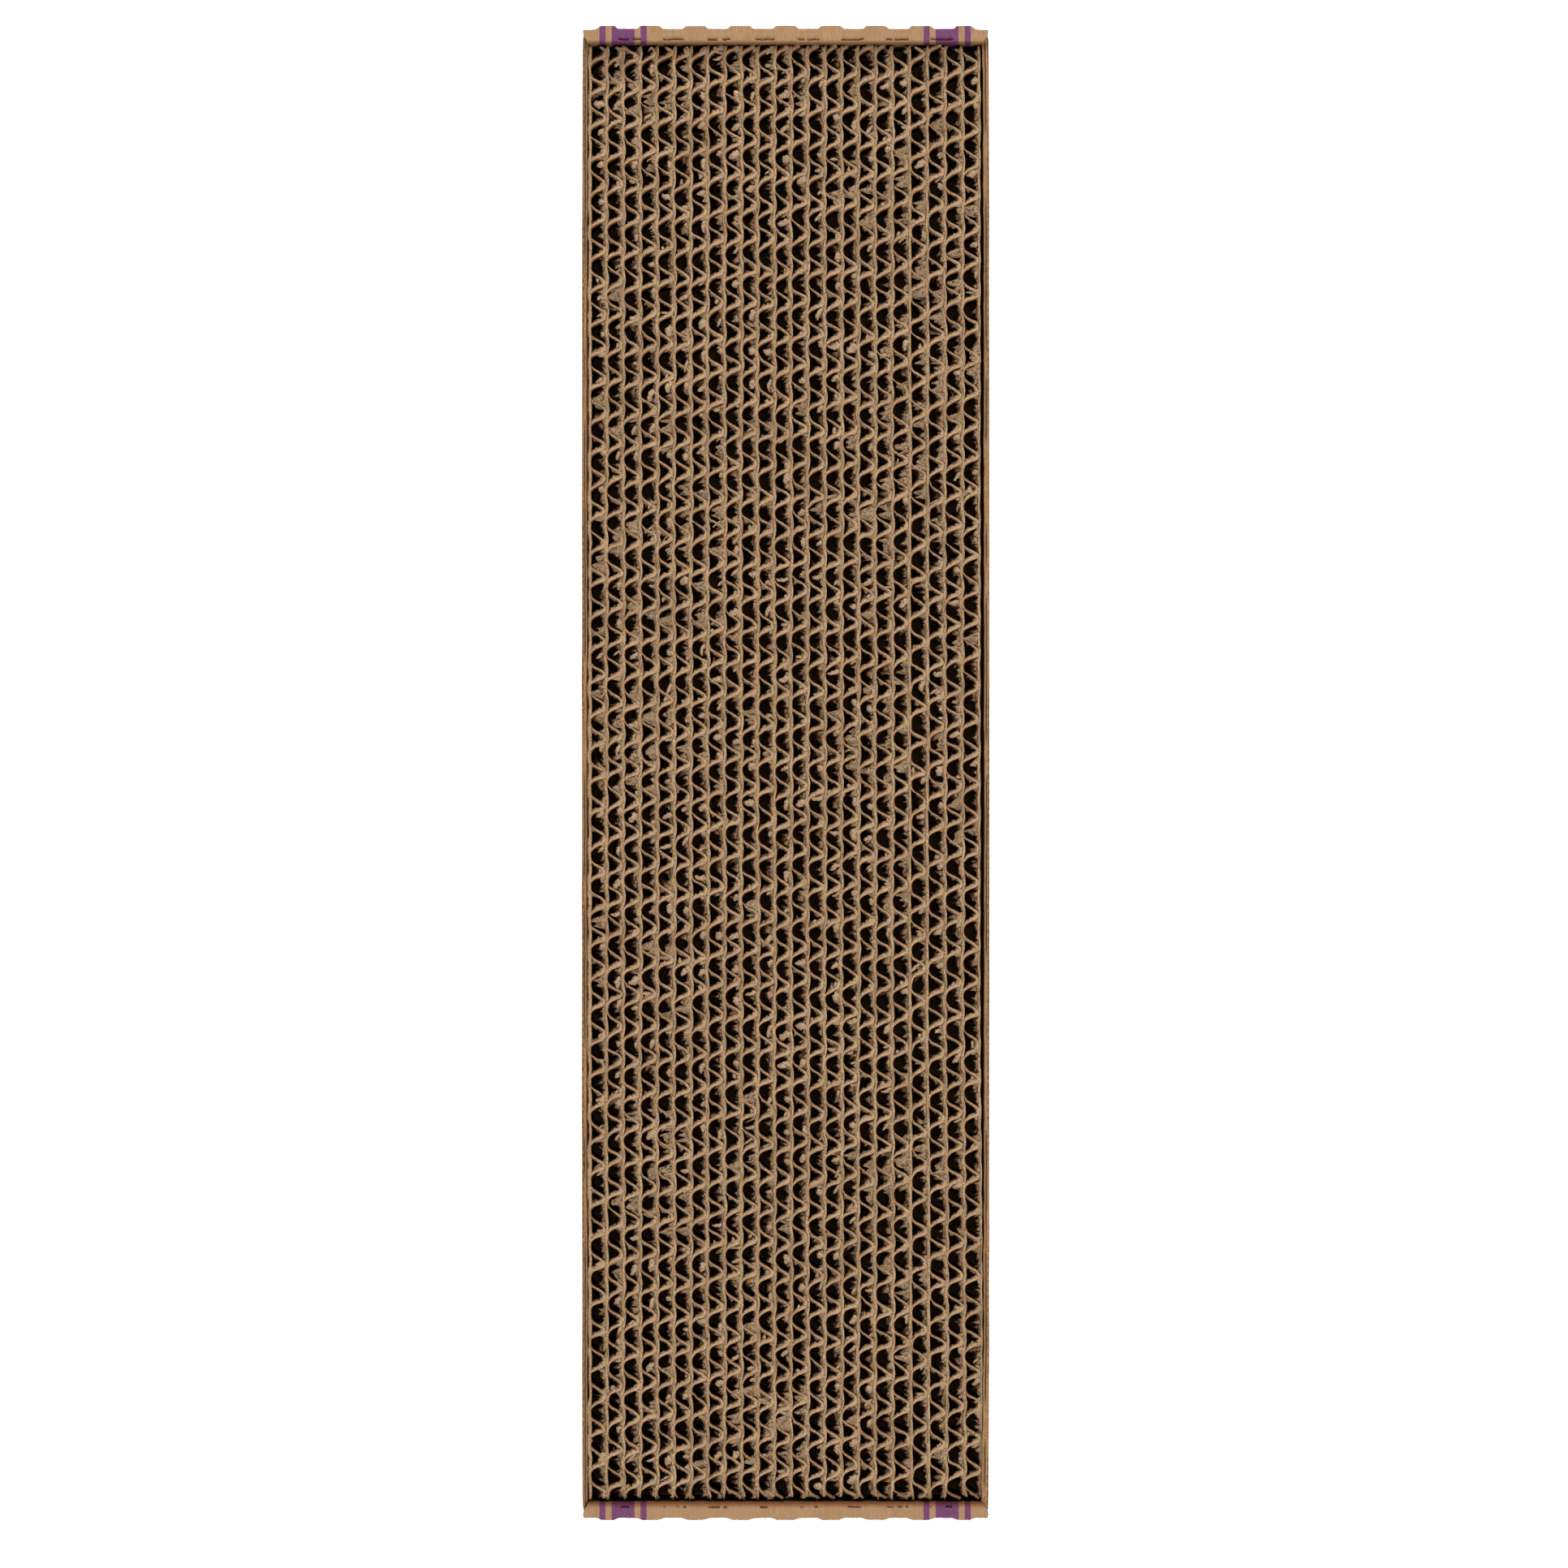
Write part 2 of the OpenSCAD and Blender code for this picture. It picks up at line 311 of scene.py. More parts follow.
def torn_fibre(name, light, mid, dark, pits):
    """Sawn and torn board edge: matted fibre with grains of 0.45 mm, coarser than real fibre, so that
    it still shows at arm's length, and duller patches of about 7 mm. The colour follows the grain's
    own relief: painted light where it stands up and painted shade, down to dark, in its pits. pits
    is the noise value below which a pit is painted fully dark."""
    material, tree, output, place = new_material(name)
    matted = add(tree, "TexNoise", {"Vector": place, "Scale": 1 / (0.45 * MM), "Detail": 4.0,
                                    "Roughness": 0.65}).outputs["Fac"]
    patch = add(tree, "TexNoise", {"Vector": place, "Scale": 1 / (7 * MM)}).outputs["Fac"]
    # Painted light and shade: the colour follows the relief's own noise, lighter where it stands up and
    # dark in its pits
    raised = add(tree, "MapRange", {"Value": matted, "From Min": 0.38, "From Max": 0.62}).outputs[0]
    toned = add(tree, "Mix", {0: raised, 6: linear(mid), 7: linear(light)}, data_type="RGBA").outputs[2]
    deep = add(tree, "MapRange", {"Value": matted, "From Min": pits + 0.14, "From Max": pits}).outputs[0]
    toned = add(tree, "Mix", {0: deep, 6: toned, 7: linear(dark)}, data_type="RGBA").outputs[2]
    shade = add(tree, "MapRange", {"Value": patch, "From Min": 0.45, "From Max": 0.85}).outputs[0]
    toned = add(tree, "Mix", {0: shade, 6: toned, 7: linear(mid)}, data_type="RGBA").outputs[2]
    paper_shader(tree, output, toned, matted, depth=0.25, roughness=0.9)
    return material


def fluted_paper(name, light, dark):
    """The pad's inner paper: duller and smoother than its sawn edges, with faint upright fibres
    0.5 mm across and 4 mm tall."""
    material, tree, output, place = new_material(name)
    across, tall = 1 / (0.5 * MM), 1 / (4 * MM)
    upright = add(tree, "Mapping", {"Vector": place, "Scale": (across, across, tall)}).outputs[0]
    fibre = add(tree, "TexNoise", {"Vector": upright, "Scale": 1.0, "Detail": 3.0}).outputs["Fac"]
    streak = add(tree, "MapRange", {"Value": fibre, "From Min": 0.3, "From Max": 0.7}).outputs[0]
    toned = add(tree, "Mix", {0: streak, 6: linear(dark), 7: linear(light)}, data_type="RGBA").outputs[2]
    paper_shader(tree, output, toned, fibre, depth=0.05, roughness=0.85)
    return material


def printed_liner(name, light, dark, ink, crease, bars):
    """Kraft liner printed by flexo plate: flat bars of ink with slightly soft edges, worn thin
    where fibres stand up. bars are (low, high) along X in millimetres. The scored inner fold gets
    painted shade, darker and redder: there the colour is multiplied by the crease's, in a band
    with a ragged rim that reaches further over the front ledge than over the rear one and fades
    out down the inner panel."""
    ink_ragged, ink_soft = 0.35 * MM, 0.1 * MM
    # Where the painted shade on the inner fold begins, is full and fades out
    shade_ragged, shade_forwards = 0.9 * MM, 0.35 * MM
    shade_from, shade_full, shade_none = (OUTER_Y - FOLD_EDGE - 0.45) * MM, 0.2 * MM, 1.4 * MM
    shade_low, shade_high = 45 * MM, 47.5 * MM
    material, tree, output, place = new_material(name)
    colour, height = pressed_kraft(tree, place, light, dark, 1)
    speck = add(tree, "TexNoise", {"Vector": place, "Scale": 1 / (0.4 * MM),
                                   "Roughness": 0.7}).outputs["Fac"]
    apart = add(tree, "SeparateXYZ", {"Vector": place}).outputs
    edge = add(tree, "Math", {0: speck, 1: ink_ragged, 2: apart["X"]},
               operation="MULTIPLY_ADD").outputs[0]
    cover = 0.0
    for low, high in bars:
        middle, half = (low + high) / 2 * MM, (high - low) / 2 * MM
        away = add(tree, "Math", {0: edge, 1: middle}, operation="SUBTRACT").outputs[0]
        away = add(tree, "Math", {0: away}, operation="ABSOLUTE").outputs[0]
        bar = add(tree, "MapRange", {"Value": away, "From Min": half + ink_soft,
                                     "From Max": half - ink_soft}).outputs[0]
        cover = add(tree, "Math", {0: cover, 1: bar}, operation="MAXIMUM").outputs[0]
    worn = add(tree, "MapRange", {"Value": speck, "From Min": 0.75, "From Max": 0.6,
                                  "To Max": 0.93}).outputs[0]
    cover = add(tree, "Math", {0: cover, 1: worn}, operation="MULTIPLY").outputs[0]
    colour = add(tree, "Mix", {0: cover, 6: colour, 7: linear(ink)}, data_type="RGBA").outputs[2]
    # Painted shade: the colour is multiplied by the crease colour in a band along each ledge's inner
    # fold, fading out down the inner panel
    outwards = add(tree, "Math", {0: apart["Y"], 1: shade_forwards}, operation="ADD").outputs[0]
    outwards = add(tree, "Math", {0: outwards}, operation="ABSOLUTE").outputs[0]
    outwards = add(tree, "Math", {0: speck, 1: -shade_ragged, 2: outwards},
                   operation="MULTIPLY_ADD").outputs[0]
    bent = add(tree, "MapRange", {"Value": outwards, "From Min": shade_from + shade_none,
                                  "From Max": shade_from + shade_full}).outputs[0]
    near_top = add(tree, "MapRange", {"Value": apart["Z"], "From Min": shade_low,
                                      "From Max": shade_high}).outputs[0]
    bent = add(tree, "Math", {0: bent, 1: near_top}, operation="MULTIPLY").outputs[0]
    colour = add(tree, "Mix", {0: bent, 6: colour, 7: linear(crease)}, data_type="RGBA",
                 blend_type="MULTIPLY").outputs[2]
    paper_shader(tree, output, colour, height, depth=0.05, roughness=0.75)
    return material


KRAFT_LIGHT, KRAFT_DARK = "#ad8a66", "#947251"
# The first colour is the print's ink; the second is painted shade, darker and redder, multiplied into
# the ledges' inner folds
INK, FOLD_SHADE = "#643061", "#c8a58a"
# Plain printed bars on the end walls: a broad one between two narrow ones, at this distance on
# each side of the middle
BARS_AT = 48
BARS = [(hand * BARS_AT + low, hand * BARS_AT + high) for hand in (-1, 1)
        for low, high in ((-7, -5.2), (-3.4, 3.4), (5.2, 7))]

liner_along = kraft_liner("Kraft liner, fibres along the tray", KRAFT_LIGHT, KRAFT_DARK, 1)
liner_upright = kraft_liner("Kraft liner, fibres upright", KRAFT_LIGHT, KRAFT_DARK, 2)
printed = printed_liner("Flexo-printed kraft liner", KRAFT_LIGHT, KRAFT_DARK, INK, FOLD_SHADE, BARS)
# In each torn fibre the last colour is the painted shade of its pits, and the first the painted light
# where its fibre stands up
raw_edge = torn_fibre("Cut tray board edge", "#b8926a", "#96714d", "#5d3a20", 0.32)
liner_edge = torn_fibre("Sawn kraft liner edge", "#ccad87", "#a18260", "#4f301a", 0.31)
flute_edge = torn_fibre("Sawn fluted paper edge", "#c8a782", "#a18160", "#5a3a20", 0.29)
# The burr is darker than the sawn edges, partly the greyer torn fibre and partly painted shade for the
# fringes that hang down into the flutes
burr_fibre = torn_fibre("Torn paper burr", "#b29777", "#866b50", "#452a17", 0.34)
loose_lint = torn_fibre("Loose paper lint", "#c4a888", "#a38668", "#4a2f1b", 0.33)
inner_paper = fluted_paper("Fluted paper", "#a3774e", "#885f3a")

# The pad's materials, and each one's number on a strip
PAD_MATERIALS = [liner_edge, flute_edge, inner_paper, burr_fibre, loose_lint]
LINER_EDGE, FLUTE_EDGE, INNER_PAPER, BURR_FIBRE, LOOSE_LINT = range(5)


# The pad

def flute_pitch(i):
    """The pitch of strip i's flutes: the pad's length over how many it holds, which is fewer than of
    even ones by the strip's creep."""
    return PAD_LEN / (PAD_LEN / FLUTE_PITCH - CREEP_SHARES[i])


def flute_turn(i, forward):
    """How many flutes of strip i lie behind a place: place over pitch, less the first's share."""
    return forward / flute_pitch(i) - PHASE_SHARES[i]


def pad_line(i, forward):
    """X of the pad's glue line i, where 0 is the left outer face: its even place and offset, the
    splay of the last lines near the front, the mean of the cosine waves that the flutes on its two
    sides press into it, a slow random wander, and a curl with the square of the place over the
    last few millimetres. The outer faces wave less, don't curl, and only the right one wanders."""
    rng = np.random.default_rng(LINE_SEED + i)
    sides = [k for k in (i - 1, i) if 0 <= k < len(strip_nodes)]
    wave = sum(np.cos(2 * math.pi * (flute_turn(k, forward) + WAVE_LAG)) for k in sides) / len(sides)
    slow = wander(forward, 23, 0.2, rng)
    curl = rng.uniform(-CURL, CURL) * np.clip((forward - (PAD_LEN - CURL_LEN)) / CURL_LEN, 0, 1) ** 2
    first, last = SPLAY_LINES
    splay = SPLAY * np.clip((i - first) / (last - first), 0, 1) * step_up(forward, *SPLAY_PLACES)
    place = PAD_LOW[0] + i * STRIP_T + np.interp(i, OFFSET_LINES, OFFSETS) + splay
    if len(sides) == 2:
        return place + WASHBOARD * wave + slow + curl
    return place + FACE_WAVE * wave + 0.4 * slow * (i > 0)


def beside_line(i, forward, aside):
    """Points seen from above, the given distance to the right of glue line i."""
    return np.stack([pad_line(i, forward) + aside, PAD_HIGH[1] - forward], -1)


def burr_at(i, forward):
    """The burr's width on strip i's flutes at a place, and how steeply it hangs."""
    share = flute_turn(i, forward) % 1
    return np.interp(share, BURR_AT, BURR_W), np.interp(share, BURR_AT, BURR_DROP)


def flute_path(i, rng):
    """The fluted paper's middle line, seen from above: the flute's points repeated at each pitch,
    each flute moved, leant over, roughened and bulged by its own normal draws, joined by a
    Catmull-Rom curve, and laid between the strip's two glue lines."""
    pitch = flute_pitch(i)
    count = int(PAD_LEN / pitch) + 4
    k = np.arange(-1, count - 1)[:, None]
    share = FLUTE_SHARES[:, 0]
    along = k + share + rng.normal(0, 0.016, (count, 1))
    along = along + rng.normal(0, 0.036, (count, 1)) * np.sin(math.pi * share)
    across = FLUTE_SHARES[:, 1] + rng.normal(0, 0.028, (count, len(share)))
    across = across + rng.normal(0, 0.07, (count, 1)) * 4 * across * (1 - across)
    line = curve_through(np.stack([along.ravel(), across.ravel()], -1), 3)
    forward = (line[:, 0] + PHASE_SHARES[i]) * pitch
    kept = (forward > -0.2) & (forward < PAD_LEN + 0.5)
    forward, share = forward[kept], np.clip(line[kept, 1], -0.04, 1)
    left = pad_line(i, forward) + LINER_T + MEDIUM_T / 2
    right = pad_line(i + 1, forward) - LINER_T - MEDIUM_T / 2
    return np.stack([left + share * (right - left), PAD_HIGH[1] - forward], -1)


def standing_paper(path, half, bent):
    """Paper on edge, from the pad's foot up to its sawn edge: the path moved half the thickness to
    each side. Below its neck, 3 mm under its top, it stands the given distance to the path's left
    as it runs, as the saw bent only the top over."""
    foot, neck = PAD_LOW[2], PAPER_TOP - 3
    side = side_of(path)
    rows = [row_of(*(path + side * away).T, z)
            for away, z in ((-half - bent, foot), (-half - bent, neck), (-half, PAPER_TOP),
                            (half, PAPER_TOP), (half - bent, neck), (half - bent, foot))]
    return loft(np.stack(rows, 1))


def sawn_edge(path, top, sharp, burr, steep, rng):
    """The sawn top edge of a standing paper. From the clean side, the given sharp width from the
    path, its section rises to a rounded crest and then falls away over the burr, whose ragged rim
    lies the given burr width off the path, on its right as it runs. steep multiplies how far the
    burr falls. Each row is roughened by 0.06 mm, and by 0.02 mm at its underside."""
    n = len(path)
    side = side_of(path)
    ragged = burr * rng.uniform(0.45, 1.05, n)
    profile = [(-sharp, -0.4), (-0.45 * sharp + rng.normal(0, 0.03, n), 0),
               (0.35 * burr, steep * (-0.06 - 0.1 * burr)), (ragged, steep * (-0.22 - 0.3 * ragged)),
               (0.3 * burr, -0.9 - 0.1 * burr * steep), (-0.6 * sharp, -1.2)]
    rows = []
    for away, drop in profile:
        rough = np.where(drop < -0.8, 0.02, 0.06)
        place = path + side * (away + rough * rng.normal(0, 0.7, n))[:, None]
        rows.append(row_of(*place.T, top + drop + rough * rng.normal(0, 1, n)))
    return loft(np.stack(rows, 1))


def torn_fringe(root, top, heading, reach, limit, steep, rng):
    """Torn fibre standing off an edge: at each place a wedge from the root, by way of a crumpled
    middle just past half its reach, to a tip. Both hang lower the further it reaches, and by steep
    times as much as on a plain edge. No tip lies left of the limit."""
    n = len(root)
    top = np.full(n, top)
    heading = heading + rng.normal(0, 0.3, (n, 2))
    heading /= np.linalg.norm(heading, axis=1, keepdims=True)
    far = root + heading * reach[:, None]
    near = root + heading * (0.55 * reach)[:, None]
    far[:, 0], near[:, 0] = np.maximum(far[:, 0], limit), np.maximum(near[:, 0], limit)
    rows = [row_of(*root.T, top - 0.15),
            row_of(*near.T, top - steep * (0.34 + 0.32 * reach) + rng.normal(0, 0.16, n)),
            row_of(*far.T, top - steep * (0.45 + 0.9 * reach) + rng.normal(0, 0.25, n)),
            row_of(*root.T, top - 0.6)]
    return loft(np.stack(rows, 1))


def lint(places, radii, rng):
    """Tufts of loose fibre: balls stretched by the given radii, sheared and ragged at random, each
    of 5 rings of 8 points between two small flat caps."""
    n, cap = len(places), 0.15
    pole = np.linspace(cap, math.pi - cap, 5)[None, :, None]
    turn = (np.arange(8) * math.pi / 4)[None, None, :]
    ball = row_of(np.sin(pole) * np.cos(turn), np.sin(pole) * np.sin(turn), np.cos(pole))
    ball = ball * (1 + rng.normal(0, 0.25, (n, 5, 8, 1)))
    ball = ball * radii[:, None, None, :]
    ball[..., 1] += ball[..., 0] * rng.uniform(-0.2, 0.9, (n, 1, 1))
    return loft(ball + places[:, None, None, :])


def matted_patch(i, start, length, rng):
    """Fibre matted over a flute: a thin sheet from the right liner to a ragged rim by the left one,
    9 points across and one row every 0.36 mm, rumpled at random, with pits where single points
    drop deep. It narrows towards its ends by the root of one less the cube of the place along it,
    and sinks by the cube of that place and by the square of the place across it."""
    forward = start + np.arange(0, length, 0.36)
    n, m = len(forward), 9
    thickness = 0.45
    along = np.linspace(-1, 1, n)[:, None]
    share = np.linspace(0, 1, m)[None, :]
    left, right = pad_line(i, forward)[:, None], pad_line(i + 1, forward)[:, None]
    ragged = drift(forward, 0.8, lambda count: rng.uniform(0.3, 1.05, count))[:, None]
    narrow = np.sqrt(1 - 0.96 * np.abs(along) ** 3) * np.minimum(ragged, 1)
    x = right - (right - left - 0.3) * (1 - share) * narrow + rng.normal(0, 0.1, (n, m))
    y = PAD_HIGH[1] - forward[:, None] + 0.8 * (share - 0.5) + rng.normal(0, 0.1, (n, m))
    z = PAD_HIGH[2] - 0.1 - np.abs(rng.normal(0, 0.22, (n, m)))
    z -= rng.uniform(0.6, 2.0, (n, m)) * (rng.random((n, m)) < 0.16)
    z -= 0.5 * np.abs(along) ** 3 + 1.1 * (1 - share) ** 2
    upper = np.stack([x, y, z], -1)
    lower = upper[:, ::-1] - [0, 0, thickness]
    return loft(np.concatenate([upper, lower], 1))


def torn_tongue(root, length, width, rng):
    """A tongue of torn paper: a soft flap that hangs forwards and to the left from its root, of 8
    rings of 8 points. Half its width goes with the root of a sine of the place along it, and it
    droops with the square of that place."""
    s = np.linspace(0, 1, 8)[:, None]
    turn = (np.arange(8) * math.pi / 4)[None, :]
    angle = rng.uniform(-2.7, -1.9) + rng.uniform(-0.7, 0.7) * s
    middle = np.array(root) + row_of(np.cos(angle), np.sin(angle), 0) * length * s[..., None]
    half = width / 2 * np.sqrt(np.sin(math.pi * (0.2 + 0.77 * s))) * (1 + rng.normal(0, 0.28, (8, 8)))
    ring = middle + row_of(-np.sin(angle) * np.cos(turn) * half, np.cos(angle) * np.cos(turn) * half,
                           np.sin(turn) * half * 0.8)
    ring[..., 2] -= 0.7 + 1.0 * s ** 2
    ring[..., 2] = np.minimum(ring[..., 2], PAD_HIGH[2])
    return loft(ring)


def tattered(x, forward):
    """How much loose fibre lies about a place, as a share: the strongest of 26 round patches, each
    a bell over the distance from its middle."""
    rng = np.random.default_rng(TATTER_SEED)
    best = np.zeros_like(x)
    for _ in range(26):
        middle_x = rng.uniform(PAD_LOW[0], PAD_HIGH[0])
        middle, size = rng.uniform(0, PAD_LEN), rng.uniform(6, 17)
        apart = ((x - middle_x) / size) ** 2 + ((forward - middle) / size) ** 2
        best = np.maximum(best, np.exp(-apart))
    return best


def crushed_ends(forward):
    """How far the pad's top edge is pushed down at a place: 0.9 mm at either end, falling off by a
    factor e with every millimetre."""
    return 0.9 * (np.exp(-forward) + np.exp(np.minimum(forward - PAD_LEN, 0)))


def fluted_skins(i, medium, rng):
    """The fluted paper of strip i and its sawn top edge, with the burr that the saw pushed to the
    left. Where the burr hangs steeply the clean side is the sharper."""
    edge = evenly(medium, 0.5)
    forward = PAD_HIGH[1] - edge[:, 1]
    burr, steep = burr_at(i, forward)
    uneven = np.minimum(wander(np.arange(len(edge)), 30, 0.15, rng), 0)
    top = PAD_HIGH[2] + uneven - crushed_ends(forward)
    return [(standing_paper(evenly(medium, 1.2), MEDIUM_T / 2, 0.16), INNER_PAPER),
            (sawn_edge(edge, top, 0.16 - 0.06 * (steep > 1.5), burr, steep, rng), FLUTE_EDGE)]


def liner_skins(line, inwards, length, rng):
    """A strip's liner on one of its glue lines and its sawn top edge. inwards is 1 where the strip
    lies to the right of the line and -1 where it lies to the left. The pad's outer faces have
    broader edges than the lines between two strips."""
    forward = np.arange(-0.3, length, 2.4)
    paper = standing_paper(beside_line(line, forward, inwards * LINER_T / 2), LINER_T / 2,
                           0.15 if inwards > 0 else 0.0)
    forward = np.arange(-0.3, length, 0.9)
    top = PAD_HIGH[2] + np.minimum(wander(forward, 12, 0.25, rng) - 0.1, 0) - crushed_ends(forward)
    sharp, burr = (0.24, 0.24) if inwards > 0 else (0.2, 0.18)
    if line in (0, len(strip_nodes)):
        sharp, burr = (0.6, 0.55) if line == 0 else (0.32, 0.4)
    burr = burr * drift(forward, 4, lambda count: rng.uniform(0.3, 1.7, count))
    edge = sawn_edge(beside_line(line, forward, inwards * LINER_T / 2), top, sharp, burr, 1, rng)
    return [(paper, INNER_PAPER), (edge, LINER_EDGE)]


def liner_fringe(i, length, rng):
    """The fringe that hangs to the left off strip i's right liner, and its lint. Its reach is an
    exponential draw that drifts along the liner, times a slower drift that is raised where the
    pad is tattered, times a draw for each place. A cosine makes it longest where the flute lies
    against the liner, and a narrow bell lengthens it where the flute leaves the liner."""
    forward = np.arange(0.3, length - 0.6, 0.38)
    root = beside_line(i + 1, forward, -LINER_T)
    limit = pad_line(i, forward) + rng.uniform(-0.4 if i else 0.25, 0.5, len(forward))
    thick = tattered(root[:, 0] - STRIP_T / 2, forward)
    reach = drift(forward, 1.1, lambda count: np.minimum(rng.exponential(0.9, count) ** 1.5, 3.4))
    reach *= drift(forward, 14, lambda count: rng.uniform(0.6, 1.4, count)) + 0.5 * thick
    reach = 0.05 + reach * rng.uniform(0.3, 1.2, len(root))
    turn = flute_turn(i, forward)
    reach *= 0.9 - 0.35 * np.cos(2 * math.pi * (turn - 0.38))
    reach += 1.3 * np.exp(-((turn - 0.08 - np.round(turn - 0.08)) / 0.045) ** 2)
    heading = np.stack([np.full(len(root), -1.0), wander(forward, 3, 0.5, rng)], -1)
    fringe = torn_fringe(root, PAD_HIGH[2], heading, reach, limit, 1, rng)
    tuft = np.flatnonzero((reach > 1.3) & (rng.random(len(reach)) < 0.1))
    radii = np.column_stack([0.4 * reach[tuft], rng.uniform(0.3, 0.7, len(tuft)),
                             rng.uniform(0.25, 0.5, len(tuft))])
    places = np.column_stack([root[tuft] + [-0.55, 0] * reach[tuft, None],
                              PAD_HIGH[2] - 0.3 - 0.15 * reach[tuft] - radii[:, 2]])
    return [(fringe, BURR_FIBRE), (lint(places, radii, rng), LOOSE_LINT)]


def deep_fringes(i, length, rng):
    """Two more fringes off strip i's right liner, further down in its flutes. For each the depth
    below the pad's top, the spacing of its places and its typical reach are given."""
    skins = []
    for deep, spacing, typical in ((1.1, 0.65, 0.7), (2.4, 0.8, 0.9)):
        forward = np.arange(0.5, length - 0.6, spacing)
        root = beside_line(i + 1, forward, -LINER_T)
        reach = 0.3 + np.minimum(rng.exponential(typical, len(root)), 2.8)
        heading = np.stack([np.full(len(root), -1.0), wander(forward, 2, 0.6, rng)], -1)
        limit = pad_line(i, forward) + LINER_T + 0.1
        skins.append((torn_fringe(root, PAD_HIGH[2] - deep, heading, reach, limit, 1, rng), BURR_FIBRE))
    return skins


def flute_fringe(i, medium, rng):
    """The fringe off the fluted paper of strip i, and its lint: it hangs off the burr's side and a
    little to the left, with a random reach added to the burr's width wherever there is a burr."""
    root = evenly(medium, 0.42)
    forward = PAD_HIGH[1] - root[:, 1]
    limit = pad_line(i, forward) + 0.1
    away = side_of(root)
    burr, steep = burr_at(i, forward)
    reach = drift(np.arange(len(root)), 3, lambda count: np.minimum(rng.exponential(0.45, count), 1.8))
    reach = burr * 0.7 + (0.25 + reach) * rng.uniform(0.3, 1.2, len(root)) * (burr > 0.35)
    fringe = torn_fringe(root, PAD_HIGH[2], away + [-0.35, 0], reach, limit, steep, rng)
    tuft = np.flatnonzero((reach > 1.7) & (rng.random(len(reach)) < 0.08))
    radii = np.column_stack([rng.uniform(0.3, 0.7, len(tuft)), 0.35 * reach[tuft],
                             rng.uniform(0.25, 0.5, len(tuft))])
    places = np.column_stack([root[tuft] + away[tuft] * 0.6 * reach[tuft, None],
                              PAD_HIGH[2] - 0.4 - 0.1 * reach[tuft] - radii[:, 2]])
    places[:, 0] = np.maximum(places[:, 0], limit[tuft] + radii[:, 0])
    return [(fringe, BURR_FIBRE), (lint(places, radii, rng), LOOSE_LINT)]


def flute_litter(i, length, rng):
    """What lies over the flutes of strip i: in some a matted patch, in most of them where the pad
    is tattered, and in nearly half of the others a torn tongue."""
    skins = []
    for flute in range(int(PAD_LEN / FLUTE_PITCH)):
        start = (flute + PHASE_SHARES[i] + rng.uniform(0.0, 0.6)) * FLUTE_PITCH
        thick = tattered(np.array([PAD_LOW[0] + (i + 0.5) * STRIP_T]), start)[0]
        patch = rng.uniform(2.5, 6.5)
        if rng.random() < 0.07 + 0.7 * thick and start + patch < length - 1:
            skins.append((matted_patch(i, start, patch, rng), BURR_FIBRE))
        elif rng.random() < 0.45:
            place = (flute + PHASE_SHARES[i] + rng.uniform(0.1, 0.45)) * FLUTE_PITCH
            if place < length - 4:
                line_x = pad_line(i + 1, np.array([0.0, place]))[1]
                root = (line_x - 0.6, PAD_HIGH[1] - place, PAD_HIGH[2])
                skins.append((torn_tongue(root, rng.uniform(1.4, 3.7), rng.uniform(0.9, 2.3), rng),
                              LOOSE_LINT))
    return skins


def pad_strip(i):
    """One strip of the pad: the fluted paper and two liners on edge with their sawn tops, the torn
    fringes that hang into the flutes, and the patches and tongues that lie over them."""
    rng = np.random.default_rng(STRIP_SEED + i)
    length = PAD_LEN + rng.uniform(0.3, 0.9)
    medium = flute_path(i, rng)
    skins = fluted_skins(i, medium, rng)
    skins += liner_skins(i, 1, length, rng)
    skins += liner_skins(i + 1, -1, length, rng)
    skins += liner_fringe(i, length, rng)
    skins += deep_fringes(i, length, rng)
    skins += flute_fringe(i, medium, rng)
    skins += flute_litter(i, length, rng)
    number = f"{i + 1:02d}"
    make_piece(f"glued_strip_{number}", skins, PAD_MATERIALS, "pad", "pad_board", f"pad_strip_{number}")


for i in range(len(strip_nodes)):
    pad_strip(i)


# The tray

